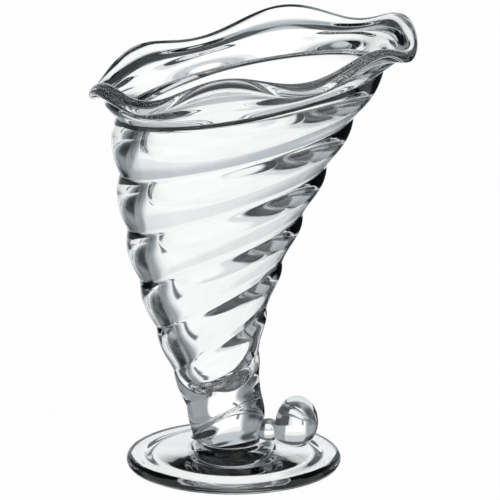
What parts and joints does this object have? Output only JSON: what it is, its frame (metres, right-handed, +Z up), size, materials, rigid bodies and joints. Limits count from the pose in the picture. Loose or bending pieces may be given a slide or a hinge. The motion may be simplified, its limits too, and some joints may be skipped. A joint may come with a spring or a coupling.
{
  "type": "parfait glass",
  "caption": "Clear pressed-glass parfait glass: a leaning horn with slanting bands and a ruffled mouth, on a solid stem with a curled tail and a round foot.",
  "frame": {"origin": "middle of the foot, on the plane of the table that the glass stands on", "axes": "+Z up, +X towards the tail and the high side of the mouth, XZ the plane about which the glass is alike"},
  "size_m": [0.1264, 0.1264, 0.1768],
  "materials": {
    "clear_glass": "fire-polished clear pressed glass"
  },
  "bodies": {
    "root": {"foot": "clear_glass", "stem": "clear_glass", "tail_neck": "clear_glass", "tail_knob": "clear_glass", "bowl": "clear_glass", "mouth": "clear_glass"}
  },
  "joints": []
}
